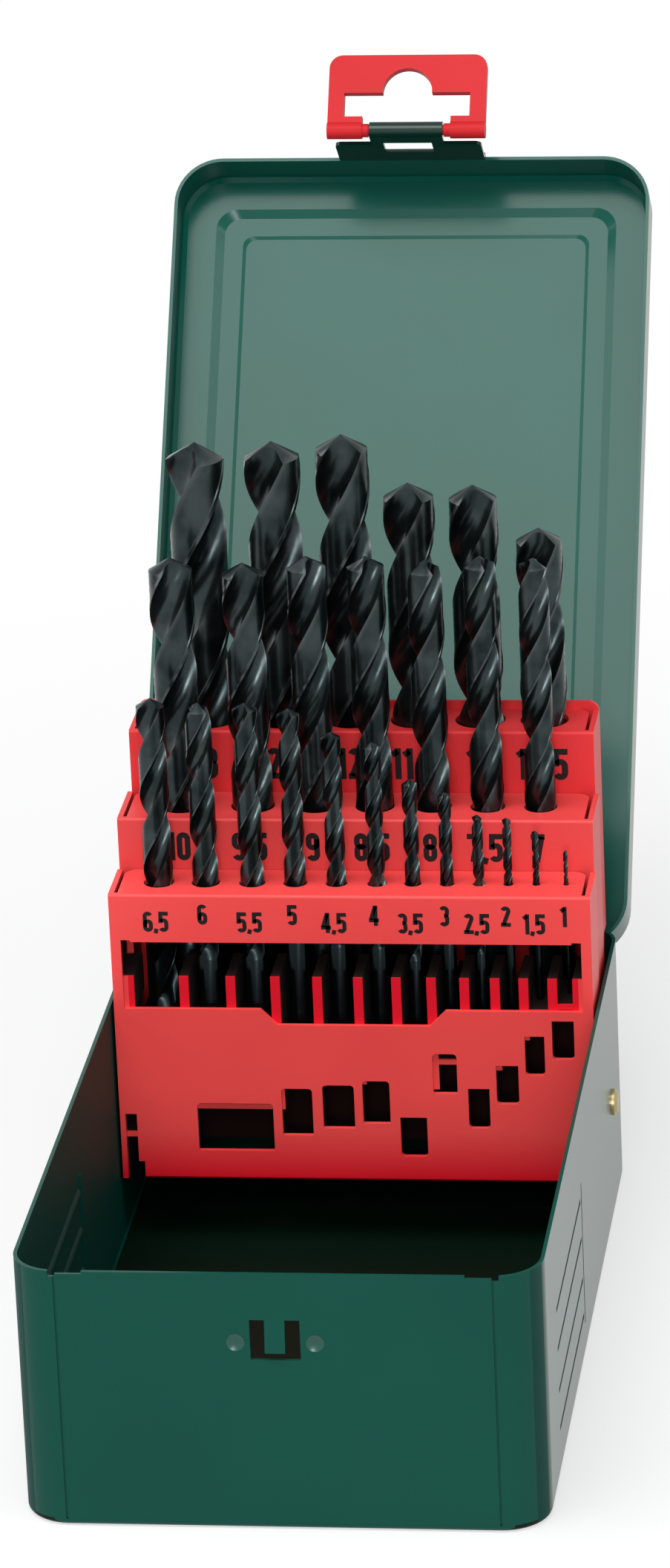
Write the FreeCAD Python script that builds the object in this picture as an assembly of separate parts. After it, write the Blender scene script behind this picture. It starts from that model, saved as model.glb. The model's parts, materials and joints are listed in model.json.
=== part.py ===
"""Steel drill cassette with a tilting three-step rack and 25 twist drills.

Millimetres. +Z is up, the front of the case faces -Y, and the origin is the centre of the base's
underside. The case is modelled open: the lid leans back and the rack stands upright. One STEP file
is written per piece, into parts/.
"""
import FreeCAD, Part
import math
import os

V = FreeCAD.Vector
ORIGIN = V(0, 0, 0)
X_AXIS = V(1, 0, 0)
Y_AXIS = V(0, 1, 0)
Z_AXIS = V(0, 0, 1)

# ---------------------------------------------------------------- driving dimensions
# Case
CASE_WIDTH = 110.0
CASE_DEPTH = 190.0
BASE_HEIGHT = 58.0
CORNER_RADIUS = 10.0
SHEET = 0.8
BOTTOM_BEND = 1.6            # outside radius of the fold along the bottom edge
INNER_BEND = 0.4             # bevel inside a fold, as a share of the fold's outside radius
SEAM_WIDTH = 0.5             # butt seam beside the front plate
SEAM_DEPTH = 0.4
NOTCH_WIDTH = 1.5            # relief cut in the top edge, at each seam
NOTCH_DEPTH = 1.2
STEP_WIDTH = 5.5             # lower stretch of the front plate's top edge, beside each notch
STEP_DEPTH = 0.6

# Lid
LID_DEPTH = 12.0             # rim edge to the outside of the panel
LID_OVERLAP = 7.0            # how far the rim reaches down over the base
LID_GAP = 0.4                # between the base wall and the inside of the rim
LID_BEND = 2.6               # outside radius between panel and rim
LID_OPEN_ANGLE = 128.0       # from closed to leaning back
FIELD_INSET = 8.6            # from the rim to the foot of the embossed field
FIELD_CORNER_RADIUS = 5.0
FIELD_SLOPE = 2.0            # width of the sloped side
FIELD_HEIGHT = 1.0
FIELD_MARGIN = 4.4           # flat band between the field's two steps
FIELD_INNER_SLOPE = 0.8
FIELD_INNER_HEIGHT = 0.3

# Hinge
HINGE_END_GAP = 1.0          # from the end of the hinge to where the corner starts
HINGE_KNUCKLES = 5           # the base has the odd ones, the lid the even ones
HINGE_BARREL_RADIUS = 1.7
HINGE_PIN_RADIUS = 0.8
LEAF_THICKNESS = 0.6
LEAF_HEIGHT = 9.0
KNUCKLE_GAP = 0.3
RUNNING_FIT = 0.05           # radial, pin to bore

# Latch plate and hanger
LATCH_WIDTH = 34.4
LATCH_REACH = 14.0           # from the rim edge to the knuckle's axis
LATCH_SHEET = 0.8
LATCH_WELD_HEIGHT = 9.0      # how far the plate laps up the outside of the rim
LATCH_TAB_HEIGHT = 10.2      # the wide part below the rim edge
LATCH_CORNER = 1.5
LATCH_SLOT_WIDTH = 11.4
LATCH_SLOT_HEIGHT = 5.6
LATCH_SLOT_ABOVE_AXIS = 3.0
LATCH_KNUCKLE_WIDTH = 17.2
LATCH_KNUCKLE_RADIUS = 2.0
HANGER_WIDTH = 37.2
HANGER_HEIGHT = 18.6         # knuckle axis to the free edge
HANGER_THICKNESS = 2.0
HANGER_CORNER = 3.2
HANGER_BARREL_RADIUS = 2.0
HANGER_BARREL_LENGTH = 8.2
HANGER_PIN_RADIUS = 1.2
HANGER_PIN_COLLAR_RADIUS = 1.6
HANGER_PIN_ENGAGEMENT = 3.0
EURO_SLOT_WIDTH = 29.6
EURO_SLOT_TOP = 9.1          # slot's upper edge above the knuckle axis
EURO_SLOT_BOTTOM = 3.2       # slot's lower edge above the knuckle axis
EURO_HUMP_RADIUS = 5.8
EURO_HUMP_TOP = 15.2

# Catch in the front wall
CATCH_TOP = 10.4             # below the top edge of the base
CATCH_WIDTH = 10.4
CATCH_HEIGHT = 9.0
CATCH_TONGUE_WIDTH = 4.2
CATCH_BAR = 1.9              # height of the cut below the tongue
CATCH_LIFT = 0.9             # how far the tongue's free end stands out
DIMPLE_SPACING = 16.5
DIMPLE_BELOW_TOP = 15.5
DIMPLE_RADIUS = 1.95
DIMPLE_FLOOR_RADIUS = 1.3
DIMPLE_DEPTH = 0.5

# Stiffening ribs pressed into each side wall
RIB_RADIUS = 0.6
RIB_REAR_Y = -8.0
RIB_LENGTH = 58.0
RIB_HEIGHTS = (10.0, 18.5, 28.0, 37.0)
RIB_UPRIGHT_TOP = 40.0
RIB_UPRIGHT_BOTTOM = 7.0

# Rack pivot
PIVOT_FROM_BACK = 27.0
PIVOT_HEIGHT = 26.0
RIVET_RADIUS = 2.0
RIVET_HEAD_RADIUS = 3.0
RIVET_HEAD_HEIGHT = 1.2
RIVET_HEAD_BEVEL = 0.7
RIVET_TAIL_RADIUS = 2.8
RIVET_TAIL_HEIGHT = 1.0
RIVET_COLLAR_RADIUS = 3.0

# Rack
RACK_WALL = 1.2
BACK_WALL = 0.9              # rear plate of the back moulding
RACK_BACK_CLEARANCE = 0.7    # between the rack and the back wall of the base
RACK_BOTTOM = 16.0           # lower edge of the front panel
FRONT_SIDE_GAP = 1.5         # from the outside of the case to each moulding's cheek
MIDDLE_SIDE_GAP = 1.9
BACK_SIDE_GAP = 2.8
FRONT_STEP_DEPTH = 15.5
MIDDLE_STEP_DEPTH = 17.0
BACK_STEP_DEPTH = 15.5
FRONT_STEP_TOP = 84.5
MIDDLE_STEP_TOP = 96.5
BACK_STEP_TOP = 111.0
STEP_GAP = 0.25              # between one moulding and the next
LIP_HEIGHT = 1.8
LIP_CORNER = 2.3
RACK_TOP_ROUND = 0.6
TOP_CORNER = 3.0             # rear corners of the step tops
TOP_END_SLOT = 0.8           # slot between a step top and the cheek
MIDDLE_TRAY_BOTTOM = 19.5    # lower edges of the pocket trays
BACK_TRAY_BOTTOM = 21.8
TRAY_TOP = 50.0              # top of the lower pocket tray in the middle and back mouldings
CHEEK_BOTTOM = 37.0          # lower edge of the middle and back cheeks, above the rivets
TRAY_INSET = 2.6             # from the back moulding's cheek to its tray
POCKET_FLOOR = 1.2
DIVIDER = 1.0                # middle and back rows
FRONT_DIVIDER = 2.1
DIVIDER_TOP = 64.5           # front row
END_BLOCK = 3.4              # fills the front row between cheek and end pocket
PANEL_FOOT_BEVEL = 0.6       # along the lower edge of the front panel
WINDOW_TOP = 73.2            # long window in the front panel
WINDOW_EAR = 2.1             # at each end the window's upper edge is raised
WINDOW_EAR_HEIGHT = 0.45
WINDOW_BOTTOM = 57.2
WINDOW_INSET = 2.3           # from the cheek to the end of the window
WINDOW_DROP = 3.7            # the lower edge drops in the middle
WINDOW_DROP_HALF_WIDTH = 17.0
CORNER_NOTCH_WIDTH = 2.6     # cut between front panel and cheek, at each lower corner
CORNER_NOTCH_TOP = 31.7
CORNER_NOTCH_FOOT_TOP = 20.2
CORNER_NOTCH_FOOT_WIDTH = 3.9
WING_RADIUS = 9.6            # round end of the front cheek, about the pivot

# Drills
DRILL_HOLE_CLEARANCE = 0.15  # radial, drill to hole
DRILL_SEAT_GAP = 0.1         # drill end to pocket floor
FRONT_ROW_FROM_FACE = 7.7
MIDDLE_ROW_FROM_RISER = 8.5
BACK_ROW_FROM_RISER = 7.9
HELIX_PITCH_PER_DIAMETER = 5.44   # 30 degree helix
POINT_HEIGHT_PER_DIAMETER = 0.3   # 118 degree point
FLUTE_STEP_DEG = 60.0
# Rows of drills, jobber series, from left to right:
# (name, diameter, overall length, flute length, x of the hole, height of the pocket floor)
ROW_HALF_WIDTH = 53.5        # half width of the rack that the x places are given for
FRONT_ROW = [
    ("06_5", 6.5, 101, 63, -43.1, 27.0),
    ("06_0", 6.0, 93, 57, -32.6, 34.0),
    ("05_5", 5.5, 93, 57, -22.2, 34.0),
    ("05_0", 5.0, 86, 52, -12.6, 39.7),
    ("04_5", 4.5, 80, 47, -3.4, 40.2),
    ("04_0", 4.0, 75, 43, 5.6, 42.9),
    ("03_5", 3.5, 70, 39, 13.6, 39.2),
    ("03_0", 3.0, 61, 33, 21.2, 45.2),
    ("02_5", 2.5, 57, 30, 28.3, 43.9),
    ("02_0", 2.0, 49, 24, 34.8, 51.2),
    ("01_5", 1.5, 40, 18, 41.0, 57.2),
    ("01_0", 1.0, 34, 12, 47.6, 58.6),
]
MIDDLE_ROW = [
    ("10_0", 10.0, 133, 87, -39.6, 22.0),
    ("09_5", 9.5, 125, 81, -23.6, 28.8),
    ("09_0", 9.0, 125, 81, -9.4, 30.4),
    ("08_5", 8.5, 117, 75, 3.8, 38.4),
    ("08_0", 8.0, 117, 75, 16.8, 37.4),
    ("07_5", 7.5, 109, 69, 29.0, 46.4),
    ("07_0", 7.0, 109, 69, 40.8, 46.0),
]
BACK_ROW = [
    ("13_0", 13.0, 151, 101, -35.4, 25.3),
    ("12_5", 12.5, 151, 101, -18.2, 25.5),
    ("12_0", 12.0, 151, 101, -2.6, 27.1),
    ("11_5", 11.5, 142, 94, 11.9, 24.8),
    ("11_0", 11.0, 142, 94, 26.2, 24.3),
    ("10_5", 10.5, 133, 87, 40.6, 23.3),
]
# small windows in the front panel: (x of the centre, width, sill height, height, round top)
SMALL_WINDOWS = [
    (-27.4, 17.1, 23.0, 11.5, True), (-13.4, 6.9, 26.9, 11.3, True), (-4.1, 7.1, 28.7, 10.4, True),
    (4.4, 6.1, 29.9, 10.3, True), (12.6, 6.0, 22.0, 9.5, False), (20.0, 5.4, 37.3, 9.6, True),
    (27.4, 4.8, 29.0, 9.6, False), (33.9, 5.0, 34.9, 9.3, False), (40.2, 4.4, 41.9, 9.4, False),
    (46.6, 4.9, 45.8, 9.2, False),
]
SMALL_WINDOW_RADIUS = 0.9

# ---------------------------------------------------------------- tied values
HALF_WIDTH = CASE_WIDTH / 2
FRONT_Y = -CASE_DEPTH / 2
BACK_Y = CASE_DEPTH / 2
HINGE_LENGTH = CASE_WIDTH - 2 * (CORNER_RADIUS + HINGE_END_GAP)
HINGE_Y = BACK_Y + LID_GAP + HINGE_BARREL_RADIUS
HINGE_Z = BASE_HEIGHT - LID_OVERLAP
LID_OFFSET = LID_GAP + SHEET          # outside of the base to the outside of the rim
RIM_FRONT_Y = FRONT_Y - LID_OFFSET
RIM_BACK_Y = BACK_Y + LID_OFFSET
LID_TOP_Z = HINGE_Z + LID_DEPTH
LATCH_AXIS_Y = RIM_FRONT_Y + SHEET - LATCH_KNUCKLE_RADIUS
LATCH_AXIS_Z = HINGE_Z - LATCH_REACH
PIVOT_Y = BACK_Y - PIVOT_FROM_BACK
PIVOT_Z = PIVOT_HEIGHT
RACK_DEPTH = FRONT_STEP_DEPTH + MIDDLE_STEP_DEPTH + BACK_STEP_DEPTH
RACK_Y = BACK_Y - SHEET - RACK_BACK_CLEARANCE - RACK_DEPTH
MIDDLE_Y = RACK_Y + FRONT_STEP_DEPTH
BACK_STEP_Y = MIDDLE_Y + MIDDLE_STEP_DEPTH
RACK_END_Y = BACK_STEP_Y + BACK_STEP_DEPTH
FRONT_ROW_Y = RACK_Y + FRONT_ROW_FROM_FACE
MIDDLE_ROW_Y = MIDDLE_Y + MIDDLE_ROW_FROM_RISER
BACK_ROW_Y = BACK_STEP_Y + BACK_ROW_FROM_RISER
SEAM_X = HALF_WIDTH - CORNER_RADIUS
FRONT_HALF_WIDTH = HALF_WIDTH - FRONT_SIDE_GAP
MIDDLE_HALF_WIDTH = HALF_WIDTH - MIDDLE_SIDE_GAP
BACK_HALF_WIDTH = HALF_WIDTH - BACK_SIDE_GAP
TRAY_HALF_WIDTH = BACK_HALF_WIDTH - TRAY_INSET
WINDOW_HALF_WIDTH = FRONT_HALF_WIDTH - WINDOW_INSET
SPREAD = FRONT_HALF_WIDTH / ROW_HALF_WIDTH


# ---------------------------------------------------------------- helpers
def box(x0, x1, y0, y1, z0, z1):
    return Part.makeBox(x1 - x0, y1 - y0, z1 - z0, V(x0, y0, z0))


def rod_x(x0, x1, y, z, radius):
    return Part.makeCylinder(radius, x1 - x0, V(x0, y, z), X_AXIS)


def rod_y(y0, y1, x, z, radius):
    return Part.makeCylinder(radius, y1 - y0, V(x, y0, z), Y_AXIS)


def rod_z(z0, z1, x, y, radius):
    return Part.makeCylinder(radius, z1 - z0, V(x, y, z0), Z_AXIS)


def fuse(shapes):
    return shapes[0].fuse(shapes[1:]).removeSplitter() if len(shapes) > 1 else shapes[0]


def both_sides(shape):
    """A shape and its mirror image in the YZ plane."""
    return [shape, shape.mirror(ORIGIN, X_AXIS)]


def level_edges(shape, z):
    """Edges that lie in the horizontal plane at height z."""
    return [e for e in shape.Edges if abs(e.BoundBox.ZMin - z) < 1e-4 and abs(e.BoundBox.ZMax - z) < 1e-4]


def rounded_prism(half_x, y0, y1, radius, z0, z1):
    """Upright prism with four rounded corners."""
    prism = box(-half_x, half_x, y0, y1, z0, z1)
    upright = [e for e in prism.Edges if abs(e.BoundBox.ZLength - (z1 - z0)) < 1e-4]
    return prism.makeFillet(radius, upright)


def prism_x(points, x0, x1):
    """Closed outline of (y, z) points, extruded from x0 to x1."""
    outline = Part.makePolygon([V(x0, y, z) for y, z in points + points[:1]])
    return Part.Face(outline).extrude(V(x1 - x0, 0, 0))


def prism_y(points, y0, y1):
    """Closed outline of (x, z) points, extruded from y0 to y1."""
    outline = Part.makePolygon([V(x, y0, z) for x, z in points + points[:1]])
    return Part.Face(outline).extrude(V(0, y1 - y0, 0))


def save(shape, name):
    solids = shape.Solids
    result = solids[0] if len(solids) == 1 else Part.makeCompound(solids)
    result.exportStep(os.path.join("parts", name + ".step"))


# ---------------------------------------------------------------- base
def base_tray():
    """Folded tray: outer form less the space inside it."""
    outer = rounded_prism(HALF_WIDTH, FRONT_Y, BACK_Y, CORNER_RADIUS, 0, BASE_HEIGHT)
    outer = outer.makeFillet(BOTTOM_BEND, level_edges(outer, 0))
    inner = rounded_prism(HALF_WIDTH - SHEET, FRONT_Y + SHEET, BACK_Y - SHEET,
                          CORNER_RADIUS - SHEET, SHEET, BASE_HEIGHT + SHEET)
    inner = inner.makeChamfer(INNER_BEND * BOTTOM_BEND, level_edges(inner, SHEET))
    return outer.cut(inner)


def seam_cuts():
    """Butt seam, relief notch and lowered edge, at the right end of the front plate."""
    wall_y0, wall_y1 = FRONT_Y - SHEET, FRONT_Y + 2 * SHEET
    seam = box(SEAM_X, SEAM_X + SEAM_WIDTH, wall_y0, FRONT_Y + SEAM_DEPTH, BOTTOM_BEND, BASE_HEIGHT + SHEET)
    notch = box(SEAM_X, SEAM_X + NOTCH_WIDTH, wall_y0, wall_y1,
                BASE_HEIGHT - NOTCH_DEPTH, BASE_HEIGHT + SHEET)
    step = box(SEAM_X - STEP_WIDTH, SEAM_X, wall_y0, wall_y1, BASE_HEIGHT - STEP_DEPTH, BASE_HEIGHT + SHEET)
    return [seam, notch, step]


def catch_cut():
    """U-shaped slot round the catch tongue."""
    top = BASE_HEIGHT - CATCH_TOP
    bottom = top - CATCH_HEIGHT
    slot = box(-CATCH_WIDTH / 2, CATCH_WIDTH / 2, FRONT_Y - SHEET, FRONT_Y + 2 * SHEET, bottom, top)
    return slot


def catch_tongue():
    """Tongue that hangs from the top of the slot, with its free end pressed outwards."""
    top = BASE_HEIGHT - CATCH_TOP
    free_end = top - CATCH_HEIGHT + CATCH_BAR
    outline = [(FRONT_Y, top), (FRONT_Y + SHEET, top),
               (FRONT_Y + SHEET - CATCH_LIFT, free_end), (FRONT_Y - CATCH_LIFT, free_end)]
    return prism_x(outline, -CATCH_TONGUE_WIDTH / 2, CATCH_TONGUE_WIDTH / 2)


def dimple(x):
    """Round dimple pressed inwards: (boss on the inside, hollow on the outside)."""
    mouth = V(x, FRONT_Y, BASE_HEIGHT - DIMPLE_BELOW_TOP)
    hollow = Part.makeCone(DIMPLE_RADIUS, DIMPLE_FLOOR_RADIUS, DIMPLE_DEPTH, mouth, Y_AXIS)
    boss = Part.makeCone(DIMPLE_RADIUS + SHEET, DIMPLE_FLOOR_RADIUS + SHEET / 2, DIMPLE_DEPTH + SHEET / 2,
                         mouth + V(0, SHEET / 2, 0), Y_AXIS)
    return boss, hollow


def side_ribs():
    """Grooves pressed into the right side wall: (ridges inside, grooves outside)."""
    ridges, grooves = [], []
    front_y = RIB_REAR_Y - RIB_LENGTH
    inside = box(HALF_WIDTH - 4 * SHEET, HALF_WIDTH - SHEET / 2, FRONT_Y, BACK_Y, 0, BASE_HEIGHT)
    for radius, found in ((RIB_RADIUS + SHEET, ridges), (RIB_RADIUS, grooves)):
        end = radius - RIB_RADIUS
        for z in RIB_HEIGHTS:
            found.append(rod_y(front_y - end, RIB_REAR_Y - 4 * RIB_RADIUS + end, HALF_WIDTH, z, radius))
        found.append(rod_z(RIB_UPRIGHT_BOTTOM - end, RIB_UPRIGHT_TOP + end, HALF_WIDTH, RIB_REAR_Y, radius))
    return [r.common(inside) for r in ridges], grooves


def base_shell():
    shell = base_tray()
    for side in (-1, 1):
        boss, hollow = dimple(side * DIMPLE_SPACING / 2)
        shell = shell.fuse(boss).cut(hollow)
    ridges, grooves = side_ribs()
    for ridge in ridges:
        shell = shell.fuse(both_sides(ridge))
    cuts = [catch_cut(), rod_x(-HALF_WIDTH - SHEET, HALF_WIDTH + SHEET, PIVOT_Y, PIVOT_Z, RIVET_RADIUS)]
    for cut in seam_cuts() + grooves:
        cuts += both_sides(cut)
    shell = shell.cut(cuts)
    return shell.fuse(catch_tongue()).removeSplitter()


def pivot_rivet():
    """Rivet at the right: head outside, collar between wall and rack, tail inside the rack."""
    wall_in = HALF_WIDTH - SHEET
    cheek_in = FRONT_HALF_WIDTH - RACK_WALL
    tail_x1 = cheek_in - KNUCKLE_GAP
    head = rod_x(HALF_WIDTH, HALF_WIDTH + RIVET_HEAD_HEIGHT, PIVOT_Y, PIVOT_Z, RIVET_HEAD_RADIUS)
    rim = [e for e in head.Edges if e.BoundBox.XMin > HALF_WIDTH + RIVET_HEAD_HEIGHT / 2]
    head = head.makeChamfer(RIVET_HEAD_BEVEL, rim)
    shank = rod_x(tail_x1 - RIVET_TAIL_HEIGHT, HALF_WIDTH + RIVET_HEAD_HEIGHT / 2, PIVOT_Y, PIVOT_Z,
                  RIVET_RADIUS)
    collar = rod_x(FRONT_HALF_WIDTH + KNUCKLE_GAP, wall_in, PIVOT_Y, PIVOT_Z, RIVET_COLLAR_RADIUS)
    tail = rod_x(tail_x1 - RIVET_TAIL_HEIGHT, tail_x1, PIVOT_Y, PIVOT_Z, RIVET_TAIL_RADIUS)
    return fuse([head, shank, collar, tail])


# ---------------------------------------------------------------- lid, modelled closed
def opened(shape):
    """Turn a piece of the lid from its closed place to its open one."""
    turned = shape.copy()
    turned.rotate(V(0, HINGE_Y, HINGE_Z), X_AXIS, -LID_OPEN_ANGLE)
    return turned


def panel_outline(inset, z):
    """Rounded outline on the lid's panel at height z, inset from the outside of the rim."""
    radius = FIELD_CORNER_RADIUS - (inset - FIELD_INSET) / 2
    plate = rounded_prism(HALF_WIDTH + LID_OFFSET - inset, RIM_FRONT_Y + inset, RIM_BACK_Y - inset,
                          max(radius, LID_BEND), z - SHEET, z)
    upper = [face for face in plate.Faces if abs(face.BoundBox.ZMin - z) < 1e-4]
    return upper[0].OuterWire


def field(z):
    """Embossed field on a panel surface at height z: two low steps with sloped sides."""
    inner = FIELD_INSET + FIELD_SLOPE + FIELD_MARGIN
    middle_z = z + FIELD_HEIGHT
    upper_z = middle_z + FIELD_INNER_HEIGHT
    foot = [panel_outline(FIELD_INSET, z), panel_outline(FIELD_INSET + FIELD_SLOPE, middle_z)]
    step = [panel_outline(inner, middle_z), panel_outline(inner + FIELD_INNER_SLOPE, upper_z)]
    return [Part.makeLoft(foot, True, True), Part.makeLoft(step, True, True)]


def lid_shell():
    half = HALF_WIDTH + LID_OFFSET
    corner = CORNER_RADIUS + LID_OFFSET
    outer = rounded_prism(half, RIM_FRONT_Y, RIM_BACK_Y, corner, HINGE_Z, LID_TOP_Z)
    outer = outer.makeFillet(LID_BEND, level_edges(outer, LID_TOP_Z))
    outer = outer.fuse(field(LID_TOP_Z))
    inner = rounded_prism(half - SHEET, RIM_FRONT_Y + SHEET, RIM_BACK_Y - SHEET, corner - SHEET,
                          HINGE_Z - SHEET, LID_TOP_Z - SHEET)
    inner = inner.makeChamfer(INNER_BEND * LID_BEND, level_edges(inner, LID_TOP_Z - SHEET))
    inner = inner.fuse(field(LID_TOP_Z - SHEET))
    shell = outer.cut(inner)
    relief_top = HINGE_Z + HINGE_BARREL_RADIUS + KNUCKLE_GAP
    relief = box(-half + corner, half - corner, RIM_BACK_Y - 2 * SHEET, RIM_BACK_Y + SHEET,
                 HINGE_Z - SHEET, relief_top)
    return shell.cut(relief).removeSplitter()


def knuckle_spans(first):
    """x ranges of every second hinge knuckle, from knuckle number first."""
    pitch = HINGE_LENGTH / HINGE_KNUCKLES
    spans = []
    for index in range(first, HINGE_KNUCKLES, 2):
        left = -HINGE_LENGTH / 2 + index * pitch
        spans.append((left + KNUCKLE_GAP / 2, left + pitch - KNUCKLE_GAP / 2))
    return spans


def hinge_leaf_base():
    """Leaf on the back wall, with its knuckles closed round the pin."""
    leaf_top = HINGE_Z - HINGE_BARREL_RADIUS - KNUCKLE_GAP
    pieces = [box(-HINGE_LENGTH / 2, HINGE_LENGTH / 2, BACK_Y, BACK_Y + LEAF_THICKNESS,
                  leaf_top - LEAF_HEIGHT, leaf_top)]
    for x0, x1 in knuckle_spans(0):
        pieces.append(rod_x(x0, x1, HINGE_Y, HINGE_Z, HINGE_BARREL_RADIUS))
        pieces.append(box(x0, x1, BACK_Y, BACK_Y + LEAF_THICKNESS, leaf_top, HINGE_Z))
    bore = rod_x(-CASE_WIDTH, CASE_WIDTH, HINGE_Y, HINGE_Z, HINGE_PIN_RADIUS)
    return fuse(pieces).cut(bore)


def hinge_leaf_lid():
    """Leaf on the outside of the back rim, with a running fit round the pin."""
    rim_edge = HINGE_Z + HINGE_BARREL_RADIUS + KNUCKLE_GAP
    pieces = [box(-HINGE_LENGTH / 2, HINGE_LENGTH / 2, RIM_BACK_Y, RIM_BACK_Y + LEAF_THICKNESS,
                  rim_edge, LID_TOP_Z - LID_BEND)]
    for x0, x1 in knuckle_spans(1):
        pieces.append(rod_x(x0, x1, HINGE_Y, HINGE_Z, HINGE_BARREL_RADIUS))
        pieces.append(box(x0, x1, RIM_BACK_Y, RIM_BACK_Y + LEAF_THICKNESS, HINGE_Z, rim_edge))
    bore = rod_x(-CASE_WIDTH, CASE_WIDTH, HINGE_Y, HINGE_Z, HINGE_PIN_RADIUS + RUNNING_FIT)
    return fuse(pieces).cut(bore)


def hinge_pin():
    return rod_x(-HINGE_LENGTH / 2, HINGE_LENGTH / 2, HINGE_Y, HINGE_Z, HINGE_PIN_RADIUS)


def latch_plate():
    """Plate lapped over the front rim, joggled in line with it, and rolled into a knuckle."""
    line_y = RIM_FRONT_Y + SHEET
    tab_bottom = HINGE_Z - LATCH_TAB_HEIGHT
    half = LATCH_WIDTH / 2
    weld = box(-half, half, RIM_FRONT_Y - LATCH_SHEET, RIM_FRONT_Y, HINGE_Z - LATCH_SHEET,
               HINGE_Z + LATCH_WELD_HEIGHT)
    tab = box(-half, half, line_y - LATCH_SHEET, line_y, tab_bottom, HINGE_Z - KNUCKLE_GAP)
    joggle = box(-half, half, RIM_FRONT_Y - LATCH_SHEET, line_y, HINGE_Z - LATCH_SHEET, HINGE_Z - KNUCKLE_GAP)
    corners = [e for e in tab.Edges
               if e.BoundBox.YLength > LATCH_SHEET / 2 and abs(e.BoundBox.ZMax - tab_bottom) < 1e-4
               and e.BoundBox.XLength < 1e-4]
    tab = tab.makeFillet(LATCH_CORNER, corners)
    neck_half = LATCH_KNUCKLE_WIDTH / 2
    neck = box(-neck_half, neck_half, line_y - LATCH_SHEET, line_y, LATCH_AXIS_Z, tab_bottom + LATCH_SHEET)
    barrel = rod_x(-neck_half, neck_half, LATCH_AXIS_Y, LATCH_AXIS_Z, LATCH_KNUCKLE_RADIUS)
    bore = rod_x(-neck_half, neck_half, LATCH_AXIS_Y, LATCH_AXIS_Z, HANGER_PIN_RADIUS + RUNNING_FIT)
    slot_z = LATCH_AXIS_Z + LATCH_SLOT_ABOVE_AXIS
    slot = box(-LATCH_SLOT_WIDTH / 2, LATCH_SLOT_WIDTH / 2, RIM_FRONT_Y - SHEET, line_y + SHEET,
               slot_z, slot_z + LATCH_SLOT_HEIGHT)
    return fuse([weld, tab, joggle, neck, barrel]).cut([bore, slot]).removeSplitter()


def hanger():
    """Euro-hole hanger, modelled standing out from the closed lid along -Y."""
    half = HANGER_WIDTH / 2
    y_free = LATCH_AXIS_Y - HANGER_HEIGHT
    z0, z1 = LATCH_AXIS_Z - HANGER_THICKNESS / 2, LATCH_AXIS_Z + HANGER_THICKNESS / 2
    plate = box(-half, half, y_free, LATCH_AXIS_Y, z0, z1)
    free_corners = [e for e in plate.Edges
                    if e.BoundBox.ZLength > HANGER_THICKNESS / 2 and abs(e.BoundBox.YMax - y_free) < 1e-4]
    plate = plate.makeFillet(HANGER_CORNER, free_corners)
    slot_y0 = LATCH_AXIS_Y - EURO_SLOT_TOP
    slot = box(-EURO_SLOT_WIDTH / 2, EURO_SLOT_WIDTH / 2, slot_y0, LATCH_AXIS_Y - EURO_SLOT_BOTTOM,
               z0 - 1, z1 + 1)
    hump_y = LATCH_AXIS_Y - EURO_HUMP_TOP + EURO_HUMP_RADIUS
    hump = rod_z(z0 - 1, z1 + 1, 0, hump_y, EURO_HUMP_RADIUS)
    throat = box(-EURO_HUMP_RADIUS, EURO_HUMP_RADIUS, hump_y, slot_y0 + 1, z0 - 1, z1 + 1)
    mouth_half = half - HANGER_BARREL_LENGTH
    mouth = box(-mouth_half, mouth_half, slot_y0, LATCH_AXIS_Y + 1, z0 - 1, z1 + 1)
    plate = plate.cut([slot, hump, throat, mouth])
    barrel = rod_x(mouth_half, half, LATCH_AXIS_Y, LATCH_AXIS_Z, HANGER_BARREL_RADIUS)
    knuckle_end = LATCH_KNUCKLE_WIDTH / 2
    collar = rod_x(knuckle_end + KNUCKLE_GAP, mouth_half, LATCH_AXIS_Y, LATCH_AXIS_Z,
                   HANGER_PIN_COLLAR_RADIUS)
    pin = rod_x(knuckle_end - HANGER_PIN_ENGAGEMENT, mouth_half, LATCH_AXIS_Y, LATCH_AXIS_Z,
                HANGER_PIN_RADIUS)
    ends = both_sides(fuse([barrel, collar, pin]))
    return fuse([plate] + ends)


# ---------------------------------------------------------------- rack
def drill_holes(row, y, z0, z1):
    """Round holes for one row of drills."""
    return [rod_z(z0, z1, x * SPREAD, y, diameter / 2 + DRILL_HOLE_CLEARANCE)
            for _, diameter, _, _, x, _ in row]


def step_top(half_width, y0, y1, top):
    """Top plate of a step: rounded front edge, a slot before each cheek, rounded rear corners."""
    plate = box(-half_width, half_width, y0, y1, top - RACK_WALL, top)
    front = [e for e in level_edges(plate, top) if abs(e.BoundBox.YMax - y0) < 1e-4]
    plate = plate.makeFillet(RACK_TOP_ROUND, front)
    slot_end = half_width - RACK_WALL
    slot = box(slot_end - TOP_END_SLOT, slot_end, y0 + RACK_WALL, y1, top - 2 * RACK_WALL, top + RACK_WALL)
    plate = plate.cut(both_sides(slot))
    corner_x = slot_end - TOP_END_SLOT
    corners = [e for e in plate.Edges
               if e.BoundBox.ZLength > RACK_WALL / 2 and abs(e.BoundBox.YMin - y1) < 1e-4
               and abs(abs(e.BoundBox.XMin) - corner_x) < 1e-4]
    return plate.makeFillet(TOP_CORNER, corners)


def corner_relief():
    """Space outside the base's inner corners, up to the rim: a rack piece is cut back by it."""
    inner = rounded_prism(HALF_WIDTH - SHEET - RACK_BACK_CLEARANCE, RACK_Y, RACK_END_Y,
                          CORNER_RADIUS - SHEET - RACK_BACK_CLEARANCE, 0, BASE_HEIGHT + RACK_BACK_CLEARANCE)
    around = box(-HALF_WIDTH, HALF_WIDTH, PIVOT_Y, BACK_Y, 0, BASE_HEIGHT + RACK_BACK_CLEARANCE)
    return around.cut(inner)


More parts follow.
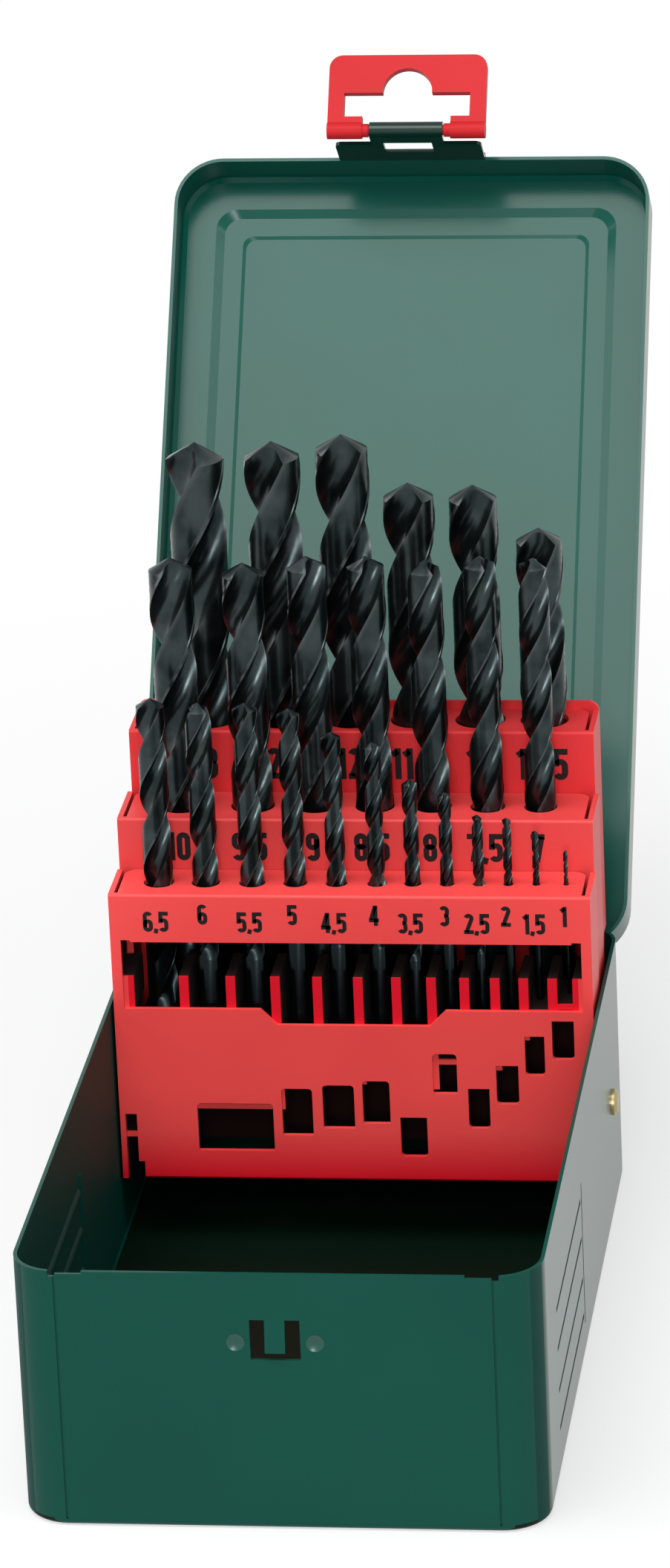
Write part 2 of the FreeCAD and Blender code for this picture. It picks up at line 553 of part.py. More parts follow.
def pockets(row, half_width, y0, y1, top, divider):
    """Dividers between neighbouring drills, and a floor under each drill."""
    places = [x * SPREAD for _, _, _, _, x, _ in row]
    floors = [seat - DRILL_SEAT_GAP for _, _, _, _, _, seat in row]
    radii = [diameter / 2 for _, diameter, _, _, _, _ in row]
    rims = [(x - radius, x + radius) for x, radius in zip(places, radii)]
    middles = [(left[1] + right[0]) / 2 for left, right in zip(rims, rims[1:])]
    walls = [-half_width] + middles + [half_width]
    solids = []
    for x, *beside in zip(middles, floors, floors[1:]):
        solids.append(box(x - divider / 2, x + divider / 2, y0, y1, min(beside) - POCKET_FLOOR, top))
    for floor, left, right in zip(floors, walls, walls[1:]):
        solids.append(box(left, right, y0, y1, floor - POCKET_FLOOR, floor))
    return solids


def small_window(x, width, sill, height, round_top):
    """Window through the front panel: two corners are rounded, at its top or at its sill."""
    x0, x1 = (x - width / 2) * SPREAD, (x + width / 2) * SPREAD
    cut = box(x0, x1, RACK_Y - RACK_WALL, RACK_Y + 2 * RACK_WALL, sill, sill + height)
    rounded_z = sill + height if round_top else sill
    edges = [e for e in level_edges(cut, rounded_z) if e.BoundBox.YLength > RACK_WALL]
    return cut.makeFillet(SMALL_WINDOW_RADIUS, edges)


def long_window():
    """Window across the front panel: its lower edge drops in the middle, its upper edge has two ears."""
    w, d = WINDOW_HALF_WIDTH, WINDOW_DROP_HALF_WIDTH
    ear_x, ear_z = w - WINDOW_EAR, WINDOW_TOP + WINDOW_EAR_HEIGHT
    right = [(d, WINDOW_BOTTOM - WINDOW_DROP), (d + WINDOW_DROP, WINDOW_BOTTOM), (w, WINDOW_BOTTOM),
             (w, ear_z), (ear_x, ear_z), (ear_x, WINDOW_TOP)]
    outline = right + [(-x, z) for x, z in reversed(right)]
    return prism_y(outline, RACK_Y - RACK_WALL, RACK_Y + RACK_WALL)


def corner_notch():
    """Cut between panel and cheek at the lower right corner."""
    x1 = FRONT_HALF_WIDTH - RACK_WALL
    y0, y1 = RACK_Y - RACK_WALL, RACK_Y + RACK_WALL
    tall = box(x1 - CORNER_NOTCH_WIDTH, x1, y0, y1, RACK_BOTTOM - 1, CORNER_NOTCH_TOP)
    foot = box(x1 - CORNER_NOTCH_FOOT_WIDTH, x1, y0, y1, RACK_BOTTOM - 1, CORNER_NOTCH_FOOT_TOP)
    return tall.fuse(foot)


def rack_front():
    end_y = MIDDLE_Y - STEP_GAP
    half = FRONT_HALF_WIDTH
    panel = box(-half, half, RACK_Y, RACK_Y + RACK_WALL, RACK_BOTTOM, FRONT_STEP_TOP - RACK_WALL)
    foot = [e for e in level_edges(panel, RACK_BOTTOM) if abs(e.BoundBox.YMax - RACK_Y) < 1e-4]
    panel = panel.makeChamfer(PANEL_FOOT_BEVEL, foot)
    panel = panel.cut([long_window()] + both_sides(corner_notch())
                      + [small_window(*window) for window in SMALL_WINDOWS])
    top = step_top(half, RACK_Y, end_y, FRONT_STEP_TOP)
    cheek = box(half - RACK_WALL, half, RACK_Y, end_y, RACK_BOTTOM, FRONT_STEP_TOP - RACK_WALL)
    wing = box(half - RACK_WALL, half, end_y, PIVOT_Y, RACK_BOTTOM + 0.4, PIVOT_Z + WING_RADIUS)
    wing_end = rod_x(half - RACK_WALL, half, PIVOT_Y, PIVOT_Z, WING_RADIUS)
    end_block = box(half - RACK_WALL - END_BLOCK, half - RACK_WALL, RACK_Y + RACK_WALL, end_y,
                    WINDOW_BOTTOM - POCKET_FLOOR, DIVIDER_TOP)
    side = fuse([cheek, wing, wing_end, end_block])
    rest = pockets(FRONT_ROW, half - RACK_WALL, RACK_Y + RACK_WALL, end_y, DIVIDER_TOP, FRONT_DIVIDER)
    body = fuse([panel, top] + both_sides(side) + rest)
    holes = drill_holes(FRONT_ROW, FRONT_ROW_Y, FRONT_STEP_TOP - 2 * RACK_WALL, FRONT_STEP_TOP + 1)
    pivot = rod_x(-CASE_WIDTH, CASE_WIDTH, PIVOT_Y, PIVOT_Z, RIVET_RADIUS + RUNNING_FIT)
    return body.cut(holes + [pivot]).removeSplitter()


def stepped_moulding(row, row_y, half, y0, y1, top, tray_bottom, window_top):
    """Middle or back step: riser with a long window, cheeks, top plate and pocket tray."""
    riser = box(-half, half, y0, y0 + RACK_WALL, CHEEK_BOTTOM, top - RACK_WALL)
    window_half = half - 2 * RACK_WALL
    window = box(-window_half, window_half, y0 - RACK_WALL, y0 + 2 * RACK_WALL, TRAY_TOP, window_top)
    cheek = box(half - RACK_WALL, half, y0, y1, CHEEK_BOTTOM, top - RACK_WALL)
    plate = step_top(half, y0, y1, top)
    tray_front = box(-TRAY_HALF_WIDTH, TRAY_HALF_WIDTH, y0, y0 + RACK_WALL, tray_bottom, TRAY_TOP)
    ends = box(TRAY_HALF_WIDTH - RACK_WALL, TRAY_HALF_WIDTH, y0, y1, tray_bottom, TRAY_TOP)
    bridge = box(TRAY_HALF_WIDTH - RACK_WALL, half, y0, y1, CHEEK_BOTTOM, CHEEK_BOTTOM + RACK_WALL)
    rest = pockets(row, TRAY_HALF_WIDTH, y0 + RACK_WALL, y1, TRAY_TOP, DIVIDER)
    body = fuse([riser.cut(window), plate, tray_front] + both_sides(cheek) + both_sides(ends)
                + both_sides(bridge) + rest)
    return body.cut(drill_holes(row, row_y, top - 2 * RACK_WALL, top + 1)).removeSplitter()


def rack_middle():
    return stepped_moulding(MIDDLE_ROW, MIDDLE_ROW_Y, MIDDLE_HALF_WIDTH, MIDDLE_Y, BACK_STEP_Y - STEP_GAP,
                            MIDDLE_STEP_TOP, MIDDLE_TRAY_BOTTOM, FRONT_STEP_TOP - 4.0)


def rack_back():
    body = stepped_moulding(BACK_ROW, BACK_ROW_Y, BACK_HALF_WIDTH, BACK_STEP_Y, RACK_END_Y - BACK_WALL,
                            BACK_STEP_TOP, BACK_TRAY_BOTTOM, MIDDLE_STEP_TOP - 4.0)
    half = BACK_HALF_WIDTH
    lip_z = BACK_STEP_TOP + LIP_HEIGHT
    back = box(-half, half, RACK_END_Y - BACK_WALL, RACK_END_Y, CHEEK_BOTTOM, lip_z)
    upper_corners = [e for e in level_edges(back, lip_z) if e.BoundBox.XLength < 1e-4]
    back = back.makeFillet(LIP_CORNER, upper_corners)
    return body.fuse(back).cut(corner_relief()).removeSplitter()


# ---------------------------------------------------------------- drills
def flute_section(radius, turn_deg, z, scale=1.0):
    """Closed outline of a two-flute drill: two lands and two hollows, turned about the axis."""
    half = [(0.95, -50), (0.97, -8), (1.0, 34), (0.34, 86)]
    points = []
    for half_turn in (0, 180):
        for share, angle in half:
            a = math.radians(angle + half_turn + turn_deg)
            reach = share * radius * scale
            points.append(V(reach * math.cos(a), reach * math.sin(a), z))
    return points


def facet_loft(outlines):
    """Solid through a stack of outlines, with two flat triangles between each pair of sides."""
    faces = [Part.Face(Part.makePolygon(end + end[:1])) for end in (outlines[0], outlines[-1])]
    for low, high in zip(outlines, outlines[1:]):
        for i in range(len(low)):
            j = (i + 1) % len(low)
            for corners in ((low[i], low[j], high[j]), (low[i], high[j], high[i])):
                faces.append(Part.Face(Part.makePolygon(list(corners) + [corners[0]])))
    return Part.makeSolid(Part.makeShell(faces))


def twist_drill(diameter, length, flute):
    """Right-hand two-flute drill standing on its shank end at the origin."""
    radius = diameter / 2
    point = POINT_HEIGHT_PER_DIAMETER * diameter
    twist_length = flute - point
    turn = 360.0 * twist_length / (HELIX_PITCH_PER_DIAMETER * diameter)
    steps = math.ceil(turn / FLUTE_STEP_DEG)
    start = length - flute
    outlines = []
    for step in range(steps + 1):
        share = step / steps
        outlines.append(flute_section(radius, turn * share, start + twist_length * share))
    outlines.append(flute_section(radius, turn, length, 0.12))
    return Part.makeCylinder(radius, start, ORIGIN, Z_AXIS).fuse(facet_loft(outlines))


# ---------------------------------------------------------------- write every piece
def main():
    os.makedirs("parts", exist_ok=True)
    rivet_left, rivet_right = reversed(both_sides(pivot_rivet()))
    pieces = {
        "base_shell": base_shell(),
        "pivot_rivet_left": rivet_left,
        "pivot_rivet_right": rivet_right,
        "hinge_leaf_base": hinge_leaf_base(),
        "hinge_pin": hinge_pin(),
        "lid_shell": opened(lid_shell()),
        "hinge_leaf_lid": opened(hinge_leaf_lid()),
        "latch_plate": opened(latch_plate()),
        "hanger": opened(hanger()),
        "rack_front": rack_front(),
        "rack_middle": rack_middle(),
        "rack_back": rack_back(),
    }
    for row, y in ((FRONT_ROW, FRONT_ROW_Y), (MIDDLE_ROW, MIDDLE_ROW_Y), (BACK_ROW, BACK_ROW_Y)):
        for name, diameter, length, flute, x, seat in row:
            drill = twist_drill(diameter, length, flute)
            drill.translate(V(x * SPREAD, y, seat))
            pieces["drill_" + name] = drill
    for name, shape in pieces.items():
        save(shape, name)


main()
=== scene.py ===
"""Looks of the drill cassette: finishes, fluted drills, printed sizes, floor, lights and camera.

Metres. +Z is up and the front of the case faces -Y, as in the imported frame.
"""
import json
import math
import bpy
from mathutils import Matrix, Vector


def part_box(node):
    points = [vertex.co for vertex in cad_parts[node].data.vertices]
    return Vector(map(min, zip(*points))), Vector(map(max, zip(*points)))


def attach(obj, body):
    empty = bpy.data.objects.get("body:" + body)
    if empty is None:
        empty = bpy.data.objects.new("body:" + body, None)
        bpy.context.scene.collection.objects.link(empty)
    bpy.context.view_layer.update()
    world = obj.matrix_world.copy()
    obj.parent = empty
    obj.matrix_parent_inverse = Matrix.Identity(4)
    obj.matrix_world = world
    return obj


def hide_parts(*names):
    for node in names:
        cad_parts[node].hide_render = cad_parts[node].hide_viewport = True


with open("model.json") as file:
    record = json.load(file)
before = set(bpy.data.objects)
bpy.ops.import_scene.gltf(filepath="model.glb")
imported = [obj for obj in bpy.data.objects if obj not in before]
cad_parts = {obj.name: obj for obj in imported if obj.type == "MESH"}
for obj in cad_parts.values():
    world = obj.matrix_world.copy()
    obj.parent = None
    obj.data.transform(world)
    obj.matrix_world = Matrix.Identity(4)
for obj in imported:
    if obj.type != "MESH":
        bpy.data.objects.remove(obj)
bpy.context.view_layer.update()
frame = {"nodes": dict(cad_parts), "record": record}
MM = 0.001

# ---------------------------------------------------------------- sizes
STEPS_OF_RACK = {              # step: (lip above the step top, height of digits, their drop), mm
    "rack_front": (0.0, 4.8, 2.2),
    "rack_middle": (0.0, 6.7, 3.2),
    "rack_back": (1.8, 7.4, 4.0),
}
HOLES_BEHIND_FACE = 8 * MM     # about how far a row of holes lies behind the face of its step
HALF_SIZE_DROP = 1.8 * MM      # half sizes are printed lower on the front step
PRINT_LIFT = 0.03 * MM         # the digits stand this far in front of the step

CATCH_LIFT = 0.9 * MM          # the tongue stands this far out of the front wall
DISH_SPACING = 16.5 * MM
DISH_BELOW_TOP = 15.5 * MM
DISH_RADIUS = 1.9 * MM
DISH_DEPTH = 0.42 * MM
DISH_RINGS = 6
DISH_SIDES = 24
DISH_SMOOTH = 60.0             # edges below this angle are smooth, degrees

DIGIT_WIDTH = 0.46             # digits: shares of their height
DIGIT_STROKE = 0.19
DIGIT_SPACE = 0.06
NARROW_WIDTHS = {"1": 0.30, ",": 0.14}

SHANK_SHARE = 0.24             # shank length, as a share of the drill's length plus a fixed part
SHANK_BASE = 10.5 * MM
LONGER_FLUTES = {"drill_06_5": 7.0 * MM, "drill_04_0": 2.0 * MM}
SHANK_CHAMFER = 0.1            # share of the radius
HELIX_PITCH = 5.44             # diameters
POINT_SLOPE = math.tan(math.radians(31.0))
POINT_RINGS = (1.0, 0.6, 0.25) # shares of the radius
TURN_STEP = 10.0               # degrees of twist between two rings
RUNOUT = 0.8                   # diameters over which the flutes grow out of the shank
LAND = (-50.0, 36.0)           # one land, degrees
LAND_STEPS = 6
MARGIN_START = 26.0
MARGIN_RISE = 2.0              # degrees over which the margin rises from the land
LAND_RELIEF = 0.965
WEB = 0.22                     # depth left between the flutes, as a share of the radius
FLUTE_POINTS = 9
DRILL_SMOOTH = 32.0

# ---------------------------------------------------------------- numbers of the finishes
# painted shade in closed-off insides: (ranges of |x|, y and z in mm, colour there)
RACK_ROOM = ((-1.0, 50.9), (47.3, 92.4), (10.0, 83.2))
BASE_PAINTED_SHADES = (
    (((-1.0, 54.5), (-94.5, 94.5), (0.5, 1.6)), (0.0, 0.005, 0.002)),       # floor: painted shade, near black
    (((52.5, 54.6), (-94.5, 94.5), (1.0, 57.9)), (0.0, 0.037, 0.028)),      # side walls: painted shade, darker green
)
RACK_PAINTED_SHADES = (
    # room inside the rack: painted shade, near black
    (RACK_ROOM, (0.008, 0.0, 0.0)),
    (((-1.0, 52.6), (47.3, 60.0), (10.0, 83.2)), (0.008, 0.0, 0.0)),        # beside the pockets: painted shade, near black
    (((-1.0, 50.2), (46.5, 47.3), (53.0, 64.6)), (0.66, 0.004, 0.018)),     # fronts of dividers: painted shade, deep red
)
# drills within the rack: painted shade, darker steel
DRILL_PAINTED_SHADES = ((RACK_ROOM, (0.010, 0.015, 0.017)),)
# painted shade on the lower edge of the front moulding: heights between which it deepens, in mm,
# and the colour there
PANEL_FOOT_SHADE = ((17.0, 28.0), (0.68, 0.006, 0.018))

# kinds of surface: scale of the mottling, waviness (scale, strength, distance), inside roughness
PAINT = (25.0, (60.0, 0.04, 0.0003), 0.55)
PLASTIC = (30.0, (350.0, 0.05, 0.0002), 1.0)
METAL_MOTTLING = 120.0
METAL_WAVE = (900.0, 0.05, 0.0001)
INK_MOTTLING = 40.0
FLOOR_MOTTLING = 1.5
MOTTLING_DETAIL = 3.0
MOTTLING_ENDS = (0.35, 0.65)   # noise at which the dark and the light colour are full
EDGE_ENDS = (0.54, 0.64)       # pointiness between which the painted edge highlight grows


# ---------------------------------------------------------------- nodes
def new_material(name):
    material = bpy.data.materials.new(name)
    material.use_nodes = True
    nodes, links = material.node_tree.nodes, material.node_tree.links
    return material, nodes, links, nodes["Principled BSDF"]


def math_node(nodes, links, operation, first, second=None):
    """Output of one math node: each input is a socket or a number."""
    node = nodes.new("ShaderNodeMath")
    node.operation = operation
    for socket, value in zip(node.inputs, (first, second)):
        if isinstance(value, bpy.types.NodeSocket):
            links.new(value, socket)
        elif value is not None:
            socket.default_value = value
    return node.outputs["Value"]


def map_range(nodes, links, value, low, high, at_low=0.0, at_high=1.0):
    """Output that runs between two results while the value runs from low to high."""
    node = nodes.new("ShaderNodeMapRange")
    node.inputs["From Min"].default_value = low
    node.inputs["From Max"].default_value = high
    node.inputs["To Min"].default_value = at_low
    node.inputs["To Max"].default_value = at_high
    links.new(value, node.inputs["Value"])
    return node.outputs["Result"]


def own_axes(nodes, links, place):
    """X, Y and Z outputs of the piece's own coordinates."""
    axes = nodes.new("ShaderNodeSeparateXYZ")
    links.new(place.outputs["Object"], axes.inputs["Vector"])
    return axes.outputs["X"], axes.outputs["Y"], axes.outputs["Z"]


def within(nodes, links, place, ranges):
    """1 inside a box of the piece's own coordinates, else 0; the first range holds both ways."""
    x, y, z = own_axes(nodes, links, place)
    across = math_node(nodes, links, "ABSOLUTE", x)
    share = 1.0
    for socket, (low, high) in zip((across, y, z), ranges):
        above = math_node(nodes, links, "GREATER_THAN", socket, low * MM)
        below = math_node(nodes, links, "LESS_THAN", socket, high * MM)
        both = math_node(nodes, links, "MULTIPLY", above, below)
        share = math_node(nodes, links, "MULTIPLY", both, share)
    return share


# ---------------------------------------------------------------- finishes
def mottled(nodes, links, shader, light, dark, scale):
    """Base colour that drifts between two close colours; the result is the place node."""
    place = nodes.new("ShaderNodeTexCoord")
    noise = nodes.new("ShaderNodeTexNoise")
    noise.inputs["Scale"].default_value = scale
    noise.inputs["Detail"].default_value = MOTTLING_DETAIL
    ramp = nodes.new("ShaderNodeValToRGB")
    for stop, position, colour in zip(ramp.color_ramp.elements, MOTTLING_ENDS, (dark, light)):
        stop.position = position
        stop.color = (*colour, 1)
    links.new(place.outputs["Object"], noise.inputs["Vector"])
    links.new(noise.outputs["Fac"], ramp.inputs["Fac"])
    links.new(ramp.outputs["Color"], shader.inputs["Base Color"])
    return place


def ripple(nodes, links, shader, place, scale, strength, distance):
    """Faint surface waviness."""
    waves = nodes.new("ShaderNodeTexNoise")
    waves.inputs["Scale"].default_value = scale
    bump = nodes.new("ShaderNodeBump")
    bump.inputs["Strength"].default_value = strength
    bump.inputs["Distance"].default_value = distance
    links.new(place.outputs["Object"], waves.inputs["Vector"])
    links.new(waves.outputs["Fac"], bump.inputs["Height"])
    links.new(bump.outputs["Normal"], shader.inputs["Normal"])


def blend_towards(nodes, links, shader, share, colour):
    """Mix another colour into the base colour, by a share from 0 to 1."""
    mix = nodes.new("ShaderNodeMix")
    mix.data_type = "RGBA"
    mix.inputs["B"].default_value = (*colour, 1)
    plain = shader.inputs["Base Color"].links[0].from_socket
    links.new(share, mix.inputs["Factor"])
    links.new(plain, mix.inputs["A"])
    links.new(mix.outputs["Result"], shader.inputs["Base Color"])


def paint_inside_shades(nodes, links, shader, place, painted_shades):
    """Paint shade into each inside box in its colour; the result is 1 in any of them, else 0."""
    in_painted_shade = 0.0
    for ranges, colour in painted_shades:
        share = within(nodes, links, place, ranges)
        blend_towards(nodes, links, shader, share, colour)
        in_painted_shade = math_node(nodes, links, "MAXIMUM", share, in_painted_shade)
    return in_painted_shade


def paint_foot_shade(nodes, links, shader, place, heights, colour):
    """Painted shade: blend towards a deeper colour below a band of heights."""
    z = own_axes(nodes, links, place)[2]
    share = map_range(nodes, links, z, heights[0] * MM, heights[1] * MM, 1.0, 0.0)
    blend_towards(nodes, links, shader, share, colour)


def coat(kind, name, light, dark, roughness, gloss, painted_shades=(), foot_shade=None):
    """Opaque coloured surface, of one of the kinds above."""
    scale, wave, roughness_inside = kind
    material, nodes, links, shader = new_material(name)
    place = mottled(nodes, links, shader, light, dark, scale)
    if foot_shade:
        paint_foot_shade(nodes, links, shader, place, *foot_shade)
    shader.inputs["Roughness"].default_value = roughness
    shader.inputs["Specular IOR Level"].default_value = gloss
    # painted shade in the given inside boxes, which are also rougher
    if painted_shades:
        in_painted_shade = paint_inside_shades(nodes, links, shader, place, painted_shades)
        rise = math_node(nodes, links, "MULTIPLY", in_painted_shade, roughness_inside - roughness)
        links.new(math_node(nodes, links, "ADD", rise, roughness), shader.inputs["Roughness"])
    ripple(nodes, links, shader, place, *wave)
    return material


def metal(name, light, dark, roughness, metallic=1.0, edge_highlight=None, painted_shades=()):
    """Metal surface; the lighter colour along its sharp outer edges is a painted highlight."""
    material, nodes, links, shader = new_material(name)
    place = mottled(nodes, links, shader, light, dark, METAL_MOTTLING)
    if edge_highlight:
        # painted highlight along the sharp edges
        shape = nodes.new("ShaderNodeNewGeometry")
        edge = map_range(nodes, links, shape.outputs["Pointiness"], *EDGE_ENDS)
        blend_towards(nodes, links, shader, edge, edge_highlight)
    paint_inside_shades(nodes, links, shader, place, painted_shades)
    shader.inputs["Metallic"].default_value = metallic
    shader.inputs["Roughness"].default_value = roughness
    ripple(nodes, links, shader, place, *METAL_WAVE)
    return material


# shaded copy of the green paint, for the base and its dimples: painted shade
SHADED_BASE_GREENS = (0.002, 0.057, 0.041), (0.002, 0.053, 0.038)

green = coat(PAINT, "green_paint", (0.002, 0.069, 0.051), (0.002, 0.064, 0.047), 0.20, 0.18)
shaded_base_green = coat(PAINT, "shaded_base_paint", *SHADED_BASE_GREENS, 0.20, 0.12, BASE_PAINTED_SHADES)
shaded_dimple_green = coat(PAINT, "shaded_dimple_paint", *SHADED_BASE_GREENS, 0.30, 0.45)
# darker copy of the green paint for the latch plate: painted shade
dark_green = coat(PAINT, "dark_green_paint", (0.002, 0.022, 0.015), (0.002, 0.018, 0.012),
                  0.15, 0.25)
# red plastic with its green and blue raised as painted sheen; its foot and insides get painted
# shade
red = coat(PLASTIC, "red_plastic", (0.78, 0.064, 0.062), (0.75, 0.058, 0.057), 0.42, 0.22,
           RACK_PAINTED_SHADES, PANEL_FOOT_SHADE)
# shaded copies of the red plastic for the middle and back steps and the hanger: painted shade
shaded_middle_red = coat(PLASTIC, "shaded_middle_plastic", (0.66, 0.052, 0.052), (0.63, 0.047, 0.048),
                  0.42, 0.22, RACK_PAINTED_SHADES)
shaded_back_red = coat(PLASTIC, "shaded_back_plastic", (0.66, 0.030, 0.034), (0.63, 0.027, 0.031),
                0.42, 0.18, RACK_PAINTED_SHADES)
shaded_hanger_red = coat(PLASTIC, "shaded_hanger_plastic", (0.46, 0.018, 0.022), (0.43, 0.015, 0.019),
                  0.35, 0.06)
black_steel = metal("black_oxide_steel", (0.045, 0.059, 0.061), (0.014, 0.021, 0.023),
                    0.25, 0.92, edge_highlight=(0.13, 0.145, 0.15), painted_shades=DRILL_PAINTED_SHADES)
steel = metal("steel", (0.50, 0.50, 0.49), (0.42, 0.42, 0.41), 0.30)
brass = metal("brass", (0.46, 0.37, 0.19), (0.38, 0.30, 0.15), 0.35)

ink, ink_nodes, ink_links, ink_shader = new_material("black_ink")
mottled(ink_nodes, ink_links, ink_shader, (0.010, 0.008, 0.009), (0.007, 0.005, 0.006),
        INK_MOTTLING)
ink_shader.inputs["Roughness"].default_value = 0.5
ink_shader.inputs["Specular IOR Level"].default_value = 0.2

FINISHES = {"green_paint": green, "dark_green_paint": dark_green, "red_plastic": red,
            "black_oxide_steel": black_steel, "steel": steel, "brass": brass}
# pieces dressed in the shaded copies above: painted shade
SHADED_FINISHES = {"base_shell": shaded_base_green, "rack_middle": shaded_middle_red, "rack_back": shaded_back_red,
                "hanger": shaded_hanger_red}


def dress(obj, material):
    obj.data.materials.clear()
    obj.data.materials.append(material)


for part in frame["record"]["subparts"]:
    finish = SHADED_FINISHES.get(part["node"], FINISHES[part["material_slot"]])
    dress(frame["nodes"][part["node"]], finish)


# ---------------------------------------------------------------- drills
def arc_through(a, b, c, count):
    """Points after a and before c on the circle through three points of the plane."""
    ax, ay, bx, by, cx, cy = *a, *b, *c
    aa, bb, cc = ax * ax + ay * ay, bx * bx + by * by, cx * cx + cy * cy
    d = 2 * (ax * (by - cy) + bx * (cy - ay) + cx * (ay - by))
    ux = (aa * (by - cy) + bb * (cy - ay) + cc * (ay - by)) / d
    uy = (aa * (cx - bx) + bb * (ax - cx) + cc * (bx - ax)) / d
    radius = math.hypot(ax - ux, ay - uy)
    start, end = math.atan2(ay - uy, ax - ux), math.atan2(cy - uy, cx - ux)
    middle = math.atan2(by - uy, bx - ux)
    sweep = (end - start) % math.tau
    if (middle - start) % math.tau > sweep:
        sweep -= math.tau
    angles = [start + sweep * i / (count + 1) for i in range(1, count + 1)]
    return [(ux + radius * math.cos(t), uy + radius * math.sin(t)) for t in angles]


def polar(share, degrees):
    return share * math.cos(math.radians(degrees)), share * math.sin(math.radians(degrees))


def turned(x, y, turn):
    return x * math.cos(turn) - y * math.sin(turn), x * math.sin(turn) + y * math.cos(turn)


def flute_profile():
    """Cross-section of a two-flute drill of unit radius, as points of the plane."""
    heel, edge = LAND
    step = (MARGIN_START - heel) / LAND_STEPS
    half = [polar(LAND_RELIEF, heel + step * i) for i in range(LAND_STEPS + 1)]
    half += [polar(1.0, MARGIN_START + MARGIN_RISE), polar(1.0, edge)]
    next_heel = polar(LAND_RELIEF, heel + 180.0)
    half += arc_through(half[-1], polar(WEB, (edge + heel + 180.0) / 2), next_heel, FLUTE_POINTS)
    return half + [(-x, -y) for x, y in half]


def add_mesh(name, points, faces, material, smooth_below=None):
    """New mesh object; edges below the given angle, in degrees, are smooth."""
    mesh = bpy.data.meshes.new(name)
    mesh.from_pydata(points, [], faces)
    mesh.validate()
    mesh.update()
    if smooth_below is not None:
        mesh.polygons.foreach_set("use_smooth", [True] * len(mesh.polygons))
        mesh.set_sharp_from_angle(angle=math.radians(smooth_below))
    obj = bpy.data.objects.new(name, mesh)
    bpy.context.scene.collection.objects.link(obj)
    dress(obj, material)
    return obj


def drill_rings(node, radius, length):
    """Rings of points up a drill that stands on the origin, from its shank end to its point."""
    start = SHANK_SHARE * length + SHANK_BASE - LONGER_FLUTES.get(node, 0.0)
    corner = length - POINT_SLOPE * radius
    turn_per_metre = math.tau / (HELIX_PITCH * 2 * radius)
    profile = flute_profile()
    circle = [polar(1.0, math.degrees(math.atan2(y, x))) for x, y in profile]
    levels = math.ceil(math.degrees(turn_per_metre * (corner - start)) / TURN_STEP)
    inner = 1 - SHANK_CHAMFER
    rings = [[(x * radius * inner, y * radius * inner, 0.0) for x, y in circle],
             [(x * radius, y * radius, SHANK_CHAMFER * radius) for x, y in circle]]
    for level in range(levels + 1):
        z = start + (corner - start) * level / levels
        grown = min(1.0, (z - start) / (RUNOUT * 2 * radius))
        turn = turn_per_metre * (z - start)
        ring = []
        for (x, y), (cx, cy) in zip(profile, circle):
            px, py = turned(cx + (x - cx) * grown, cy + (y - cy) * grown, turn)
            ring.append((radius * px, radius * py, z))
        rings.append(ring)
    for share in POINT_RINGS:
        ring = []
        for x, y in profile:
            px, py = share * x * radius, share * y * radius
            ring.append((*turned(px, py, turn), length - POINT_SLOPE * math.hypot(px, py)))
        rings.append(ring)
    return rings


def fluted_drill(node):
    """Fine drill with two flutes, in the box of its CAD solid."""
    low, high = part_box(node)
    radius, length = (high.x - low.x) / 2, high.z - low.z
    centre = Vector(((low.x + high.x) / 2, (low.y + high.y) / 2, low.z))
    rings = drill_rings(node, radius, length)
    count = len(rings[0])
    points = [centre + Vector(p) for ring in rings for p in ring]
    faces = [tuple(range(count))[::-1]]
    for level in range(len(rings) - 1):
        a, b = level * count, (level + 1) * count
        for i in range(count):
            j = (i + 1) % count
            faces.append((a + i, a + j, b + j, b + i))
    last = (len(rings) - 1) * count
    points.append(centre + Vector((0, 0, length)))
    faces += [(last + i, last + (i + 1) % count, len(points) - 1) for i in range(count)]
    drill = add_mesh("fluted_" + node, points, faces, black_steel, smooth_below=DRILL_SMOOTH)
    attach(drill, node)
    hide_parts(node)


drills = [name for name in frame["nodes"] if name.startswith("drill_")]
for name in drills:
    fluted_drill(name)


# ---------------------------------------------------------------- dimples beside the catch
def round_dish(name, x, z):
    """Smooth dish in front of the floor of a dimple pressed into the front wall."""
    front_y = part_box("base_shell")[0].y + CATCH_LIFT
    points, faces = [Vector((x, front_y + DISH_DEPTH, z))], []
    for ring in range(1, DISH_RINGS + 1):
        share = ring / DISH_RINGS
        for i in range(DISH_SIDES):
            side, up = polar(share * DISH_RADIUS, 360.0 * i / DISH_SIDES)
            points.append(Vector((x + side, front_y + DISH_DEPTH * (1 - share * share), z + up)))
    for i in range(DISH_SIDES):
        j = (i + 1) % DISH_SIDES
        faces.append((0, 1 + i, 1 + j))
        for ring in range(DISH_RINGS - 1):
            low, high = 1 + ring * DISH_SIDES, 1 + (ring + 1) * DISH_SIDES
            faces.append((low + i, high + i, high + j, low + j))
    dish = add_mesh(name, points, faces, shaded_dimple_green, smooth_below=DISH_SMOOTH)
    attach(dish, "base")


for side, name in ((-1, "dimple_left"), (1, "dimple_right")):
    round_dish(name, side * DISH_SPACING / 2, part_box("base_shell")[1].z - DISH_BELOW_TOP)


# ---------------------------------------------------------------- printed sizes
def arc(y, radius, start, end, steps=8):
    """Points on an arc about (0, y), between two angles in degrees."""
    turns = [math.radians(start + (end - start) * i / steps) for i in range(steps + 1)]
    return [(radius * math.cos(t), y + radius * math.sin(t)) for t in turns]


